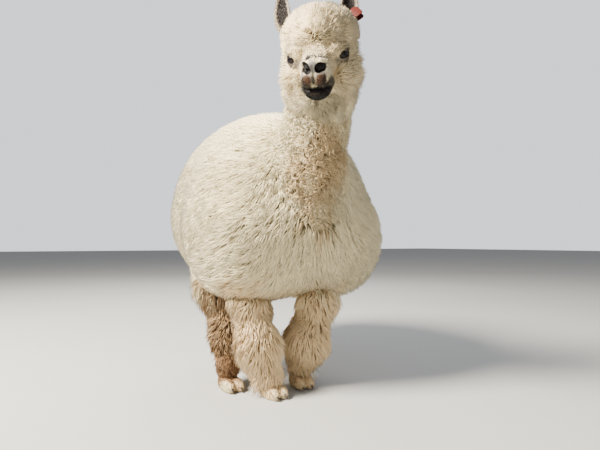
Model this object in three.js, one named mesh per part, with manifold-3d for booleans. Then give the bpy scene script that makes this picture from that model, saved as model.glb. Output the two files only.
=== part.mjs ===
// A huacaya alpaca in full fleece, walking, as a still life-size model.
// Millimetres, +Z up. The animal faces -Y, its left side is +X, and it stands on Z = 0.
// Every solid reaches out to the tips of the coat, so each shape below is flesh and fleece together.
import * as THREE from "three";
import { mergeVertices } from "three/addons/utils/BufferGeometryUtils.js";
import Module from "manifold-3d";

const wasm = await Module();
wasm.setup();

// ---- Driving sizes -------------------------------------------------------------------------
const BACK_HEIGHT = 1008; // floor to the top of the fleece on the back
const CHEST_HEIGHT = 318; // floor to the lowest fleece of the chest
const TRUNK_WIDTH = 680;
const CHEST_FRONT_Y = -490;
const RUMP_Y = 495;
const EYE_POINT = new THREE.Vector3(-74, -567, 1046); // midway between the eyes
const HEAD_TURN = 36.5; // degrees, to the animal's right
const HEAD_PITCH = 29; // degrees, nose down
const HEAD_ROLL = -3; // degrees, left eye up
const EYE_RADIUS = 19.5;
const EYE_SPACING = 140; // between the eyeballs' centres
const EAR_WIDTH = 62;
const EAR_SHIFT = -9; // both ears sit this far off the head's middle, to the animal's right
const ANKLE_HEIGHT = 62; // floor to the cut between leg and foot
const GAP = 0.4; // between neighbours that touch

const deg = THREE.MathUtils.degToRad;
const vec = (x, y, z) => new THREE.Vector3(x, y, z);

// ---- Shapes as signed distances ----------------------------------------------------------
// An ellipsoid, about in millimetres from its surface, negative inside.
function lump(centre, radii, turn = new THREE.Euler()) {
  const back = new THREE.Matrix4().makeRotationFromEuler(turn).invert();
  return (p) => {
    const q = p.clone().sub(centre).applyMatrix4(back);
    const unit = q.clone().divide(radii).length();
    const slope = q.divide(radii).divide(radii).length();
    return slope > 0 ? (unit * (unit - 1)) / slope : -Math.min(radii.x, radii.y, radii.z);
  };
}

// A rounded bar from one point to another, whose radius changes evenly along it.
function bar(from, to, startRadius, endRadius) {
  const along = to.clone().sub(from);
  const length2 = along.lengthSq();
  return (p) => {
    const q = p.clone().sub(from);
    const t = THREE.MathUtils.clamp(q.dot(along) / length2, 0, 1);
    return q.addScaledVector(along, -t).length() - THREE.MathUtils.lerp(startRadius, endRadius, t);
  };
}

// Bars end to end through points, each given as [point, radius].
function chain(softness, ...joints) {
  const bars = joints.slice(1).map(([to, r], i) => bar(joints[i][0], to, joints[i][1], r));
  return blend(softness, ...bars);
}

// Shapes grown together, with a fillet of about the softness.
function blend(softness, ...shapes) {
  return (p) =>
    shapes.map((shape) => shape(p)).reduce((a, b) => {
      const h = Math.max(softness - Math.abs(a - b), 0) / softness;
      return Math.min(a, b) - (h * h * softness) / 4;
    });
}

// The first shape with the second taken away, and the edge rounded.
const carve = (softness, shape, tool) => {
  const joined = blend(softness, (p) => -shape(p), tool);
  return (p) => -joined(p);
};

// ---- From shapes to meshes -----------------------------------------------------------------
// How far from a point inside the shape its surface lies in a direction.
function castOut(shape, from, direction, reach) {
  const steps = 48;
  let inside = 0;
  for (let i = 1; i <= steps; i++) {
    const t = (reach * i) / steps;
    if (shape(from.clone().addScaledVector(direction, t)) > 0) {
      let outside = t;
      for (let k = 0; k < 14; k++) {
        const middle = (inside + outside) / 2;
        if (shape(from.clone().addScaledVector(direction, middle)) > 0) outside = middle;
        else inside = middle;
      }
      return inside;
    }
    inside = t;
  }
  return reach;
}

// Skins a shape with rings of rays cast from stations on an axis. Each station has a point, and two
// directions across the axis, which turn right-handed about it. The first and last rings are closed
// by a tip on the surface, or by a flat cap where the shape is to be cut.
function wrap(shape, stations, { sides = 32, reach = 600, tipStart = true, tipEnd = true } = {}) {
  const corners = [];
  const tip = (station, next, round) => {
    const out = station.at.clone().sub(next.at).normalize();
    const far = round ? castOut(shape, station.at, out, reach) : 0;
    return station.at.clone().addScaledVector(out, far);
  };
  corners.push(tip(stations[0], stations[1], tipStart));
  for (const { at, across, up } of stations) {
    for (let j = 0; j < sides; j++) {
      const angle = (2 * Math.PI * j) / sides;
      const direction = across.clone().multiplyScalar(Math.cos(angle)).addScaledVector(up, Math.sin(angle));
      corners.push(at.clone().addScaledVector(direction, castOut(shape, at, direction, reach)));
    }
  }
  corners.push(tip(stations.at(-1), stations.at(-2), tipEnd));
  const faces = [];
  const corner = (ring, j) => 1 + ring * sides + (j % sides);
  const last = corners.length - 1;
  for (let j = 0; j < sides; j++) {
    faces.push(0, corner(0, j + 1), corner(0, j));
    for (let ring = 0; ring + 1 < stations.length; ring++) {
      const [a, b] = [corner(ring, j), corner(ring, j + 1)];
      const [d, c] = [corner(ring + 1, j), corner(ring + 1, j + 1)];
      if (corners[a].distanceTo(corners[c]) < corners[b].distanceTo(corners[d])) faces.push(a, b, c, a, c, d);
      else faces.push(a, b, d, b, c, d);
    }
    faces.push(last, corner(stations.length - 1, j), corner(stations.length - 1, j + 1));
  }
  const geometry = new THREE.BufferGeometry().setFromPoints(corners);
  geometry.setIndex(faces);
  return geometry;
}

// Joins rings of the same number of corners, and closes both ends with flat fans.
function loft(rings) {
  const sides = rings[0].length;
  const middle = (ring) => ring.reduce((sum, p) => sum.add(p), vec(0, 0, 0)).divideScalar(sides);
  const corners = [middle(rings[0]), ...rings.flat(), middle(rings.at(-1))];
  const corner = (ring, j) => 1 + ring * sides + (j % sides);
  const faces = [];
  for (let j = 0; j < sides; j++) {
    faces.push(0, corner(0, j + 1), corner(0, j));
    for (let ring = 0; ring + 1 < rings.length; ring++) {
      faces.push(corner(ring, j), corner(ring, j + 1), corner(ring + 1, j + 1));
      faces.push(corner(ring, j), corner(ring + 1, j + 1), corner(ring + 1, j));
    }
    faces.push(corners.length - 1, corner(rings.length - 1, j), corner(rings.length - 1, j + 1));
  }
  return new THREE.BufferGeometry().setFromPoints(corners).setIndex(faces);
}

// Stations spaced along a straight axis. Shares run from 0 to 1 along it.
function straightStations(from, to, shares, upHint = vec(0, 0, 1)) {
  const along = to.clone().sub(from).normalize();
  const across = along.clone().cross(upHint).normalize();
  const up = along.clone().cross(across).normalize();
  return shares.map((s) => ({ at: from.clone().lerp(to, s), across, up }));
}

const evenly = (count) => Array.from({ length: count }, (_, i) => i / (count - 1));
const closerAtEnds = (count) => evenly(count).map((s) => 0.5 - 0.5 * Math.cos(Math.PI * s));

// ---- Solids --------------------------------------------------------------------------------
function solidOf(geometry) {
  const bare = geometry.index ? geometry.toNonIndexed() : geometry.clone();
  bare.deleteAttribute("normal");
  bare.deleteAttribute("uv");
  const merged = mergeVertices(bare, 1e-3);
  const mesh = new wasm.Mesh({
    numProp: 3,
    vertProperties: merged.attributes.position.array,
    triVerts: new Uint32Array(merged.index.array),
  });
  return new wasm.Manifold(mesh);
}

function geometryOf(solid) {
  const mesh = solid.getMesh();
  const places = new Float32Array(mesh.numVert * 3);
  for (let i = 0; i < mesh.numVert; i++) {
    places.set(mesh.vertProperties.subarray(i * mesh.numProp, i * mesh.numProp + 3), i * 3);
  }
  const geometry = new THREE.BufferGeometry().setAttribute("position", new THREE.BufferAttribute(places, 3));
  geometry.setIndex(new THREE.BufferAttribute(mesh.triVerts, 1));
  return geometry;
}

// A block that fills the side of a plane that its normal points to.
function halfSpace(point, normal, size = 3000) {
  const block = new THREE.BoxGeometry(size, size, size).translate(0, 0, size / 2);
  block.applyQuaternion(new THREE.Quaternion().setFromUnitVectors(vec(0, 0, 1), normal.clone().normalize()));
  return solidOf(block.translate(point.x, point.y, point.z));
}

const grown = (shape, by) => (p) => shape(p) - by;

// ---- Trunk ---------------------------------------------------------------------------------
const widestZ = 580; // the fleece hangs, so the trunk is widest low down
const halfWidth = TRUNK_WIDTH / 2;
const lowDepth = widestZ - CHEST_HEIGHT;
const topDepth = 290;
const trunkMiddleZ = (BACK_HEIGHT + CHEST_HEIGHT) / 2;
const elbow = (side) => lump(vec(side * 178 + 8, -226, 486), vec(160, 176, 178));
const trunkShape = blend(
  120,
  lump(vec(0, 6, widestZ), vec(halfWidth - 4, 390, lowDepth + 10)), // barrel
  lump(vec(10, CHEST_FRONT_Y + 270, widestZ - 36), vec(halfWidth - 12, 270, lowDepth - 36)), // brisket
  lump(vec(0, RUMP_Y - 260, widestZ + 10), vec(halfWidth - 74, 260, lowDepth + 24)), // haunches
  lump(vec(0, 34, BACK_HEIGHT - topDepth), vec(290, 428, topDepth)), // back
  lump(vec(16, -172, BACK_HEIGHT - topDepth - 44), vec(302, 228, topDepth - 24)), // shoulders
  elbow(-1),
  elbow(1),
);

// ---- Neck ----------------------------------------------------------------------------------
const headRotation = new THREE.Matrix4()
  .makeRotationZ(deg(-HEAD_TURN))
  .multiply(new THREE.Matrix4().makeRotationX(deg(HEAD_PITCH)))
  .multiply(new THREE.Matrix4().makeRotationY(deg(HEAD_ROLL)));
const headPlace = new THREE.Matrix4().setPosition(EYE_POINT).multiply(headRotation);
const inHead = (x, y, z) => vec(x, y, z).applyMatrix4(headPlace);

const neckShape = chain(
  60,
  [vec(-8, -346, 600), 150],
  [vec(0, -392, 752), 116],
  [vec(8, -424, 890), 102],
  [inHead(0, 84, -64), 94],
);

const bodyShape = blend(64, trunkShape, neckShape);

// ---- Head, in its own frame: origin midway between the eyes, -Y to the nose ------------------
const skull = blend(
  26,
  lump(vec(0, 50, 6), vec(70, 84, 66)), // braincase
  bar(vec(0, 0, -14), vec(0, -106, -20), 50, 33), // bridge of the nose
  bar(vec(0, -90, -36), vec(0, -108, -40), 36, 35), // nose tip and upper lip
  bar(vec(0, 24, -64), vec(0, -96, -72), 46, 28), // jaw
  lump(vec(0, -97, -73), vec(38, 28, 27)), // lower lip and chin
  lump(vec(50, 10, 2), vec(34, 37, 33)), // left eye's orbit
  lump(vec(-50, 10, 2), vec(34, 37, 33)), // right eye's orbit
);
const bonnet = blend(
  50,
  lump(vec(6, 74, 46), vec(117, 96, 88)),
  lump(vec(9, 44, 66), vec(92, 66, 66)),
);
const cheeks = blend(
  44,
  lump(vec(64, 46, -50), vec(62, 86, 84)),
  lump(vec(-60, 46, -50), vec(62, 86, 84)),
  lump(vec(-4, 32, -126), vec(106, 84, 96)), // beard under the jaw
);
const eyeHollows = blend(
  8,
  bar(vec(62, -10, 0), vec(150, -70, 6), 14, 56),
  bar(vec(-62, -10, 0), vec(-150, -70, 6), 14, 56),
);
const headShape = blend(14, skull, carve(22, blend(44, bonnet, cheeks), eyeHollows));

// ---- The plane where trunk and neck are parted ---------------------------------------------------
const collarPoint = vec(0, -370, 815);
const collarNormal = vec(0, -0.66, 0.75).normalize();
const neckEnd = inHead(0, 70, -20);
const neckEndNormal = inHead(0, -0.3, 0.95).sub(EYE_POINT).normalize();

// ---- Trunk and neck ----------------------------------------------------------------------------
const END_INSET = 4; // from the last ring of the trunk to its tip
const trunkCore = vec(0, 0, trunkMiddleZ + 15);
const trunkTip = (direction) => {
  const far = castOut(bodyShape, trunkCore, direction, 900) - END_INSET;
  return trunkCore.clone().addScaledVector(direction, far);
};
const trunkAxis = straightStations(
  trunkTip(vec(0, 1, 0.09).normalize()),
  trunkTip(vec(0, -1, -0.09).normalize()),
  closerAtEnds(28),
);
const trunkBody = (by) => solidOf(wrap(grown(bodyShape, by), trunkAxis, { sides: 36, reach: 900 }));
const neckAxis = evenly(12).map((s) => {
  const normal = collarNormal.clone().lerp(neckEndNormal, s).normalize();
  const at = collarPoint.clone().addScaledVector(collarNormal, -40).lerp(neckEnd, s);
  const across = normal.clone().cross(vec(0, 1, 0)).normalize();
  return { at, across, up: normal.clone().cross(across) };
});
const neckBody = solidOf(wrap(bodyShape, neckAxis, { sides: 30, reach: 330, tipStart: false, tipEnd: true }));

// ---- Head solid ------------------------------------------------------------------------------------
const HEAD_SHARES = [0, 0.04, 0.1, 0.17, 0.24, 0.3, 0.35, 0.39, 0.42, 0.45, 0.48, 0.51, 0.54, 0.58]
  .concat([0.63, 0.7, 0.78, 0.85, 0.9, 0.94, 0.97, 1]);
const headAxis = straightStations(vec(0, 150, -20), vec(0, -142, -40), HEAD_SHARES);
const headBody = (by) => {
  const geometry = wrap(grown(headShape, by), headAxis, { sides: 44, reach: 260 });
  return solidOf(geometry.applyMatrix4(headPlace));
};
const eyeCentre = (side) => inHead((side * EYE_SPACING) / 2, 0, 0);
const eyeBall = (side, radius) => {
  const ball = new THREE.SphereGeometry(radius, 12, 8);
  return solidOf(ball.translate(...eyeCentre(side).toArray()));
};

// ---- Legs and feet ------------------------------------------------------------------------------------
// Each leg is a chain of fleecy bars down to the ankle, and each foot two padded toes on a flat sole.
const LEGS = {
  foreleg_right: {
    foot: vec(-108, -322, 0),
    turn: 8,
    joints: [
      [vec(-176, -238, 500), 92],
      [vec(-174, -262, 330), 61],
      [vec(-146, -298, 170), 65],
      [vec(-118, -310, 66), 61],
    ],
  },
  foreleg_left: {
    foot: vec(26, -276, 0),
    turn: -4,
    joints: [
      [vec(150, -270, 500), 92],
      [vec(96, -286, 310), 68],
      [vec(56, -278, 160), 70],
      [vec(36, -270, 66), 53],
    ],
  },
  hindleg_right: {
    foot: vec(-203, -188, 0),
    turn: 4,
    joints: [
      [vec(-170, 170, 520), 110],
      [vec(-204, -70, 330), 72],
      [vec(-202, -146, 170), 44],
      [vec(-201, -173, 66), 45],
    ],
  },
  hindleg_left: {
    foot: vec(136, 262, 0),
    turn: -6,
    joints: [
      [vec(136, 226, 500), 112],
      [vec(146, 320, 310), 66],
      [vec(140, 312, 170), 46],
      [vec(136, 286, 66), 45],
    ],
  },
};
const TOE_SPREAD = 17; // half the distance between a foot's two toes

function legBody({ joints }) {
  const shape = chain(60, ...joints);
  const from = joints.at(-1)[0];
  const heights = [0, 0.08, 0.2, 0.36, 0.52, 0.68, 0.84, 1];
  const stations = heights.map((s) => {
    const z = THREE.MathUtils.lerp(ANKLE_HEIGHT, joints[0][0].z + 40, s);
    const below = joints.findIndex(([p]) => p.z <= z);
    const [a, b] = below <= 0 ? [joints[0][0], joints[0][0]] : [joints[below][0], joints[below - 1][0]];
    const at = below < 0 ? from.clone() : a.clone().lerp(b, a === b ? 0 : (z - a.z) / (b.z - a.z));
    at.z = z;
    return { at, across: vec(1, 0, 0), up: vec(0, 1, 0) };
  });
  return solidOf(wrap(shape, stations, { sides: 16, reach: 260, tipStart: false, tipEnd: false }));
}

const toeOf = (side) =>
  blend(
    12,
    lump(vec(side * TOE_SPREAD, -18, 17), vec(17, 46, 22)),
    bar(vec(side * TOE_SPREAD, -36, 14), vec(side * (TOE_SPREAD - 2), -50, 10), 13, 9),
  );
const footShape = blend(
  14,
  toeOf(-1),
  toeOf(1),
  lump(vec(0, -6, 12), vec(18, 32, 24)), // the web between the toes
  bar(vec(0, 14, 30), vec(0, 16, 90), 30, 30), // pastern
);
const ground = halfSpace(vec(0, 0, 0), vec(0, 0, -1));
function footBody(by) {
  const heights = [-3, 5, 12, 20, 30, 44, ANKLE_HEIGHT - GAP];
  const stations = heights.map((z) => {
    const at = vec(0, THREE.MathUtils.lerp(-10, 14, z / ANKLE_HEIGHT), z);
    return { at, across: vec(1, 0, 0), up: vec(0, 1, 0) };
  });
  const body = solidOf(
    wrap(grown(footShape, by), stations, { sides: 20, reach: 120, tipStart: false, tipEnd: false }),
  );
  return body.subtract(ground);
}

// A nail grows from the front of each toe and bends down to a blunt point.
const NAIL_LONG = 24;
const NAIL_WIDE = 14;
const NAIL_DEEP = 15;
function nailBody(side) {
  const stations = evenly(4).map((s) => {
    const bend = s * 0.55;
    const at = vec(side * (TOE_SPREAD - 1), -50 - NAIL_LONG * s, 19 - 12 * s * s);
    return { at, across: vec(1, 0, 0), up: vec(0, Math.sin(bend), Math.cos(bend)), size: 1 - 0.72 * s * s };
  });
  const rings = stations.map(({ at, across, up, size }) =>
    evenly(7).slice(1).map((t) => {
      const angle = 2 * Math.PI * t;
      return at.clone()
        .addScaledVector(across, (NAIL_WIDE / 2) * size * Math.cos(angle))
        .addScaledVector(up, (NAIL_DEEP / 2) * size * Math.sin(angle));
    }),
  );
  return solidOf(loft(rings));
}

// ---- Tail ------------------------------------------------------------------------------------------
// It hangs from the croup, close to the haunches.
const TAIL_JOINTS = [
  [vec(0, RUMP_Y - 128, 884), 34],
  [vec(0, RUMP_Y - 40, 812), 50],
  [vec(0, RUMP_Y - 2, 720), 54],
  [vec(0, RUMP_Y - 8, 630), 40],
];
const tailShape = chain(40, ...TAIL_JOINTS);
const tailLine = new THREE.CatmullRomCurve3(TAIL_JOINTS.map(([at]) => at));
const tailAxis = closerAtEnds(8).map((s) => {
  const along = tailLine.getTangentAt(s);
  return { at: tailLine.getPointAt(s), across: vec(1, 0, 0), up: along.clone().cross(vec(1, 0, 0)) };
});

// ---- Ears ---------------------------------------------------------------------------------------------
// Each ear is a spear-shaped scoop, open to the front, on a line that leaves the skull sideways and
// bends upright.
const EAR_THICK = 5;
const EAR_LINE = [[52, 100, 50], [98, 136, 96], [109, 196, 146], [101, 240, 190]]; // in the head's frame
function earPlace(side, s) {
  const line = new THREE.CatmullRomCurve3(EAR_LINE.map(([x, y, z]) => inHead(side * x + EAR_SHIFT, y, z)));
  const along = line.getTangentAt(s);
  const open = inHead(side * 0.2, -1, 0.1).sub(EYE_POINT).normalize();
  open.addScaledVector(along, -open.dot(along)).normalize();
  const across = along.clone().cross(open).normalize().multiplyScalar(side);
  const width = Math.max(EAR_WIDTH * Math.sin(Math.PI * (0.2 + 0.8 * s)) ** 0.8, 5);
  const spread = deg(THREE.MathUtils.lerp(78, 40, s)); // half the arc of its section
  return { at: line.getPointAt(s), along, open, across, spread, radius: width / 2 / Math.sin(spread) };
}
function earPoint({ at, open, across, spread, radius }, angle, inward) {
  const r = radius - inward;
  return at.clone()
    .addScaledVector(across, r * Math.sin(angle))
    .addScaledVector(open, radius * Math.cos(spread) - r * Math.cos(angle));
}
function earBody(side) {
  const rings = [0.1, 0.24, 0.38, 0.52, 0.66, 0.78, 0.88, 0.95, 0.99, 1].map((s) => {
    const place = earPlace(side, s);
    const thick = Math.min(EAR_THICK, place.radius * 0.6);
    const outer = evenly(8).map((t) => earPoint(place, place.spread * (1 - 2 * t), 0));
    const inner = evenly(6).map((t) => earPoint(place, place.spread * (2 * t - 1), thick));
    return side > 0 ? [...outer, ...inner] : [...outer, ...inner].reverse();
  });
  return solidOf(loft(rings));
}

// ---- Ear tag -----------------------------------------------------------------------------------------
// Two blank plastic leaves on the left ear's outer rim. The front leaf's stud goes through the ear
// and snaps into the back leaf.
const TAG_LONG = 46;
const TAG_WIDE = 28;
const TAG_THICK = 2.2;
const STUD_RADIUS = 3;
const TAG_PLAY = 4.5; // between a leaf and the ear
const tagSeat = earPlace(1, 0.5);
const tagAngle = tagSeat.spread * 0.62;
const tagAxis = earPoint(tagSeat, tagAngle, 0).sub(earPoint(tagSeat, tagAngle, EAR_THICK)).normalize();
function tagFrame(distance) {
  const at = earPoint(tagSeat, tagAngle, 0).addScaledVector(tagAxis, distance);
  const down = tagSeat.across.clone().multiplyScalar(0.9).add(vec(0, 0, -1));
  down.addScaledVector(tagAxis, -down.dot(tagAxis)).normalize();
  const across = down.clone().cross(tagAxis);
  return new THREE.Matrix4().makeBasis(across, tagAxis, down.negate()).setPosition(at);
}
function tagLeaf(distance) {
  const outline = new THREE.Shape();
  const [w, top, low] = [TAG_WIDE / 2, 8, 8 - TAG_LONG];
  outline.moveTo(-w * 0.5, top).lineTo(w * 0.5, top).lineTo(w, top - 12).lineTo(w, low + 5);
  outline.lineTo(w - 5, low).lineTo(5 - w, low).lineTo(-w, low + 5).lineTo(-w, top - 12);
  const leaf = new THREE.ExtrudeGeometry(outline, { depth: TAG_THICK, bevelEnabled: false });
  return solidOf(leaf.rotateX(Math.PI / 2).applyMatrix4(tagFrame(distance)));
}
function studBody(radius, from, to) {
  const stud = new THREE.CylinderGeometry(radius, radius, to - from, 8).translate(0, (from + to) / 2, 0);
  return solidOf(stud.applyMatrix4(tagFrame(0)));
}

// ---- The whole animal -----------------------------------------------------------------------------
const looks = {
  fleece: { color: 0xe9dfc8, roughness: 0.95 },
  legs: { color: 0xd9bd93, roughness: 0.95 },
  ear: { color: 0x8d7c6b, roughness: 0.9 },
  eye: { color: 0x120c08, roughness: 0.08 },
  pad: { color: 0x6d5242, roughness: 0.8 },
  nail: { color: 0x2f2620, roughness: 0.5 },
  tag: { color: 0xc8524a, roughness: 0.45 },
};
const group = new THREE.Group();
function add(name, solid, look) {
  const material = new THREE.MeshStandardMaterial({ ...looks[look], metalness: 0 });
  const mesh = new THREE.Mesh(geometryOf(solid), material);
  mesh.name = name;
  group.add(mesh);
}

const headGrown = headBody(GAP);
add("trunk", trunkBody(0).subtract(halfSpace(collarPoint, collarNormal)).subtract(headGrown), "fleece");
const collarTop = collarPoint.clone().addScaledVector(collarNormal, GAP);
const collarCut = halfSpace(collarTop, collarNormal.clone().negate());
add("neck", neckBody.subtract(collarCut).subtract(headGrown), "fleece");
let headSolid = headBody(0);
for (const side of [-1, 1]) headSolid = headSolid.subtract(eyeBall(side, EYE_RADIUS + GAP));
add("head", headSolid, "fleece");

for (const [side, word] of [[1, "left"], [-1, "right"]]) {
  add(`eye_${word}`, eyeBall(side, EYE_RADIUS), "eye");
  let ear = earBody(side).subtract(headGrown);
  if (side > 0) ear = ear.subtract(studBody(STUD_RADIUS + GAP, -20, 20));
  add(`ear_${word}`, ear, "ear");
}
const frontLeaf = -EAR_THICK - TAG_PLAY;
const backLeaf = TAG_PLAY + TAG_THICK;
add("eartag_front", tagLeaf(frontLeaf).add(studBody(STUD_RADIUS, frontLeaf - 1, backLeaf + 1)), "tag");
add("eartag_back", tagLeaf(backLeaf).subtract(studBody(STUD_RADIUS + GAP, -20, 20)), "tag");

const trunkGrown = trunkBody(GAP);
const footGrown = footBody(GAP);
for (const [name, leg] of Object.entries(LEGS)) {
  add(name, legBody(leg).subtract(trunkGrown), "legs");
  const place = new THREE.Matrix4().makeRotationZ(deg(leg.turn)).setPosition(leg.foot);
  const placed = (solid) => solidOf(geometryOf(solid).applyMatrix4(place));
  const footName = name.replace("leg", "foot");
  add(footName, placed(footBody(0)), "pad");
  for (const [side, word] of [[1, "left"], [-1, "right"]]) {
    add(`${footName}_nail_${word}`, placed(nailBody(side).subtract(footGrown)), "nail");
  }
}
add("tail", solidOf(wrap(tailShape, tailAxis, { sides: 12, reach: 200 })).subtract(trunkGrown), "fleece");

// The origin is on the floor, under the middle of the whole animal.
const box = new THREE.Box3().setFromObject(group);
group.position.set(-(box.min.x + box.max.x) / 2, -(box.min.y + box.max.y) / 2, 0);

export default group;
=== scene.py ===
import math

import bmesh
import bpy
import numpy as np
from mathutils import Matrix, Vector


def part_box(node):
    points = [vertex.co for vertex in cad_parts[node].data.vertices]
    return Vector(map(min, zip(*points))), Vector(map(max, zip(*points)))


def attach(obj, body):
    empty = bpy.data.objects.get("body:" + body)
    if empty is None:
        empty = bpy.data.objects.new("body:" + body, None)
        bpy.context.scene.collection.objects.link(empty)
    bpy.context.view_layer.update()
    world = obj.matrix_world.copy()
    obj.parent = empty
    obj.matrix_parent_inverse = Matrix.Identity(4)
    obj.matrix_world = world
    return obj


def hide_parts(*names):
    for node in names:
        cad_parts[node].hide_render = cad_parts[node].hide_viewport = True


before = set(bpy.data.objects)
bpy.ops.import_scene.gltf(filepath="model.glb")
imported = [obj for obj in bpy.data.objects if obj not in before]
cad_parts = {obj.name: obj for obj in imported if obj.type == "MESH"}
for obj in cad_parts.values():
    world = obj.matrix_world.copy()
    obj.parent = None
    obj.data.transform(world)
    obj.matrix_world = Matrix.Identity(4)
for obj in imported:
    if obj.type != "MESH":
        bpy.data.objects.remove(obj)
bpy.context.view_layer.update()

import openvdb
from mathutils import Matrix, Vector

# ---- Camera ----
# It stands knee-high in front of the animal's right shoulder and looks a little upwards. The
# animal's own frame has its middle under the barrel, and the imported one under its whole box.
def placed(name, data):
    """An object of the scene that shows this mesh, light or camera."""
    made = bpy.data.objects.new(name, data)
    bpy.context.scene.collection.objects.link(made)
    return made


EYES_IN_ANIMAL = Vector((-0.074, -0.567, 1.046))  # midway between the eyes, in metres
eye_corners = [Vector(corner) for side in ("left", "right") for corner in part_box(f"eye_{side}")]
between_eyes = sum(eye_corners, Vector()) / len(eye_corners)
shift = Vector((between_eyes.x - EYES_IN_ANIMAL.x, between_eyes.y - EYES_IN_ANIMAL.y, 0))
CAMERA_IN_ANIMAL = Vector((-0.75, -1.68, 0.50))
CAMERA_HEADING = 29  # degrees, from +Y towards +X
CAMERA_TILT = 2.29  # degrees upwards
camera = placed("camera", bpy.data.cameras.new("camera"))
camera.data.lens = 27
camera.data.sensor_width = 36
camera.location = CAMERA_IN_ANIMAL + shift
camera.rotation_euler = (math.radians(90 + CAMERA_TILT), 0, math.radians(-CAMERA_HEADING))
bpy.context.scene.camera = camera


# ---- Studio light and floor ----
# A large soft light high on the viewer's left, a weaker one on the right, one behind for the
# edges of the fleece, a pale room, and a plain pale floor.
def node(tree, kind, values=None, **settings):
    """A shader node with its inputs set, or linked where the value is another node's output."""
    made = tree.nodes.new(kind)
    for key, value in settings.items():
        setattr(made, key, value)
    for key, value in (values or {}).items():
        if isinstance(value, bpy.types.NodeSocket):
            tree.links.new(value, made.inputs[key])
        else:
            made.inputs[key].default_value = value
    return made


def surface(name, **sockets):
    """A material with a Principled shader, whose plain sockets are set."""
    material = bpy.data.materials.new(name)
    material.use_nodes = True
    shader = material.node_tree.nodes["Principled BSDF"]
    for key, value in sockets.items():
        shader.inputs[key.replace("_", " ")].default_value = value
    return material, material.node_tree, shader


def multiply_add(tree, value, by, plus):
    return node(tree, "ShaderNodeMath", {0: value, 1: by, 2: plus}, operation="MULTIPLY_ADD").outputs[0]


LIGHTS_AIM = Vector((0, -0.1, 0.7))


def area_light(name, place, size, power, colour):
    """A round soft light, with its place and size in metres and its power in watts."""
    lamp = bpy.data.lights.new(name, "AREA")
    lamp.shape = "DISK"
    lamp.size = size
    lamp.energy = power
    lamp.color = colour
    holder = placed(name, lamp)
    holder.location = place
    holder.rotation_euler = (LIGHTS_AIM - Vector(place)).to_track_quat("-Z", "Y").to_euler()


area_light("key_light", (-3.3, -0.2, 3.5), 1.5, 1250, (1.0, 0.92, 0.78))
area_light("fill_light", (2.8, -2.6, 1.6), 3.0, 10, (0.9, 0.94, 1.0))
area_light("edge_light", (1.4, 3.0, 3.2), 2.2, 120, (0.96, 0.98, 1.0))
ROOM_LIGHT, ROOM_SEEN = 0.42, 1.35  # the room's brightness as it lights the animal and as it is seen
world = bpy.data.worlds.new("room")
world.use_nodes = True
room = world.node_tree
seen = node(room, "ShaderNodeLightPath").outputs["Is Camera Ray"]
room_light = multiply_add(room, seen, ROOM_SEEN - ROOM_LIGHT, ROOM_LIGHT)
room.nodes["Background"].inputs["Color"].default_value = (0.92, 0.95, 1.0, 1)
room.links.new(room_light, room.nodes["Background"].inputs["Strength"])
bpy.context.scene.world = world


def own_place(tree):
    """The place on the object itself, in metres."""
    return node(tree, "ShaderNodeTexCoord").outputs["Object"]


def noise(tree, place, scale, detail=2):
    """A cloudy random value over places, from 0 to 1."""
    values = {"Vector": place, "Scale": scale, "Detail": detail}
    return node(tree, "ShaderNodeTexNoise", values).outputs["Fac"]


def two_tints(tree, mask, dark, light):
    """A colour that wanders between two tints with a mask."""
    values = {"Factor": mask, "A": (*dark, 1), "B": (*light, 1)}
    return node(tree, "ShaderNodeMix", values, data_type="RGBA").outputs["Result"]


FLOOR_HALF = 30  # metres
floor_corners = [(FLOOR_HALF * x, FLOOR_HALF * y, 0) for x, y in ((-1, -1), (1, -1), (1, 1), (-1, 1))]
floor_mesh = bpy.data.meshes.new("floor")
floor_mesh.from_pydata(floor_corners, [], [(0, 1, 2, 3)])
floor_material, tree, shader = surface("pale_floor", Roughness=0.9)
floor_grain = noise(tree, own_place(tree), 0.7)
floor_tint = two_tints(tree, floor_grain, (0.43, 0.43, 0.42), (0.48, 0.48, 0.47))
tree.links.new(floor_tint, shader.inputs["Base Color"])
floor_mesh.materials.append(floor_material)
floor = placed("floor", floor_mesh)


# ---- Skin ----
# One skin covers the trunk, neck, head, ears, legs, feet and tail, and lies inside the outline by
# the depth of the coat. It is finely made where it is bare or thinly haired, on the face, ears and
# feet, and coarse where the fleece hides it.

# Its shapes are functions that give about the distance to a surface, negative inside. They are in
# millimetres in the animal's own frame, which faces -Y and has its left side at +X.
def lump(centre, radii, axes=None):
    """An ellipsoid, turned to the axes where they are given."""
    centre, radii = np.array(centre, float), np.array(radii, float)

    def field(p):
        q = p - centre
        if axes is not None:
            q = q @ axes
        q = q / radii
        unit = np.sqrt((q * q).sum(-1)) + 1e-6
        q = q / radii
        return unit * (unit - 1) / (np.sqrt((q * q).sum(-1)) + 1e-9)

    return field


def bar(start, end, start_radius, end_radius):
    """A round bar between two places, with its own radius at each."""
    start = np.array(start, float)
    along = np.array(end, float) - start

    def field(p):
        q = p - start
        t = np.clip(q @ along / (along @ along), 0, 1)
        q = q - t[..., None] * along
        return np.sqrt((q * q).sum(-1)) - (start_radius + (end_radius - start_radius) * t)

    return field


def blend(softness, *shapes):
    """Shapes joined into one, with a fillet of about this size between them."""

    def field(p):
        joined = shapes[0](p)
        for shape in shapes[1:]:
            other = shape(p)
            h = np.maximum(softness - np.abs(joined - other), 0) / softness
            joined = np.minimum(joined, other) - h * h * softness / 4
        return joined

    return field


def carve(softness, shape, tool):
    """A shape with another one cut out of it, and the cut's edge softened."""
    joined = blend(softness, lambda p: -shape(p), tool)
    return lambda p: -joined(p)


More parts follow.
